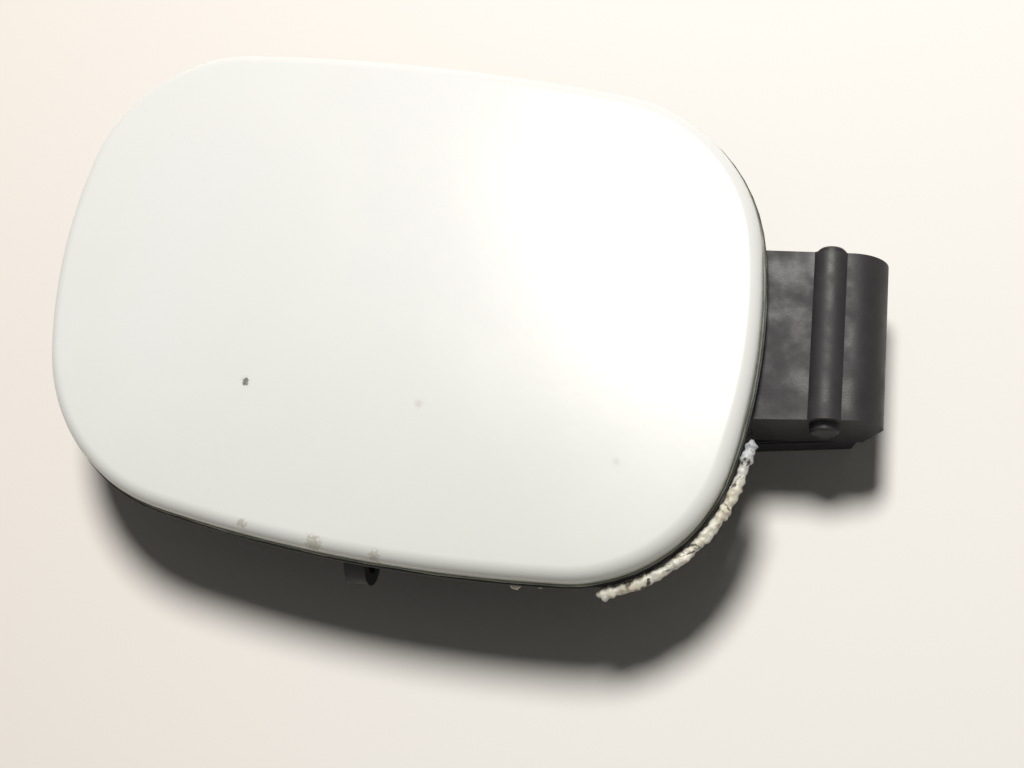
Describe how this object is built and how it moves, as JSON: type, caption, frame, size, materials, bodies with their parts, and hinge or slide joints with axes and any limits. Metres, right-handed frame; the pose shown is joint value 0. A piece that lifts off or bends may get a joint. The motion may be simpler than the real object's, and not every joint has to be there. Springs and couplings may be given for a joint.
{
  "type": "fuel filler flap with hinge",
  "caption": "Car fuel filler flap: white painted crowned skin on a black inner panel, with a gooseneck hinge in a black pivot block, a lock eye and a cap holder.",
  "frame": {"origin": "middle of the two body screws on the hinge's mounting plane, under the middle of the hinge pin", "axes": "+Z out of the painted face of the closed flap, +Y along the hinge pin, +X from the flap towards the hinge block's nose"},
  "size_m": [0.1918, 0.1254, 0.034],
  "materials": {
    "white_paint": "gloss",
    "adhesive": "matte",
    "black_panel": "satin",
    "block_plastic": "satin",
    "sealer": "matte",
    "steel": "satin",
    "brass": "satin",
    "bush_plastic": "satin",
    "black_rubber": "matte"
  },
  "bodies": {
    "base": {"hinge_housing": "block_plastic", "base_gasket": "black_rubber", "base_plate": "block_plastic", "base_screws": "steel", "mount_inserts": "brass", "hinge_pin": "steel", "pin_plug": "block_plastic", "leaf_spring": "steel", "open_stop": "black_rubber", "closed_stop": "black_rubber"},
    "flap": {"outer_skin": "white_paint", "hem_bead": "adhesive", "inner_carrier": "black_panel", "seam_sealer": "sealer", "hinge_arm": "block_plastic", "arm_screws": "steel", "pivot_bushes": "bush_plastic", "cap_holder": "black_panel", "holder_screws": "steel", "lock_eye": "black_panel", "eye_screws": "steel", "edge_buffers": "black_rubber"}
  },
  "joints": [
    {"name": "flap_hinge", "type": "hinge", "parent": "base", "child": "flap", "pos_m": [0, 0, 0.0202], "axis": [0, 1, 0], "range_deg": [0, 82]}
  ]
}
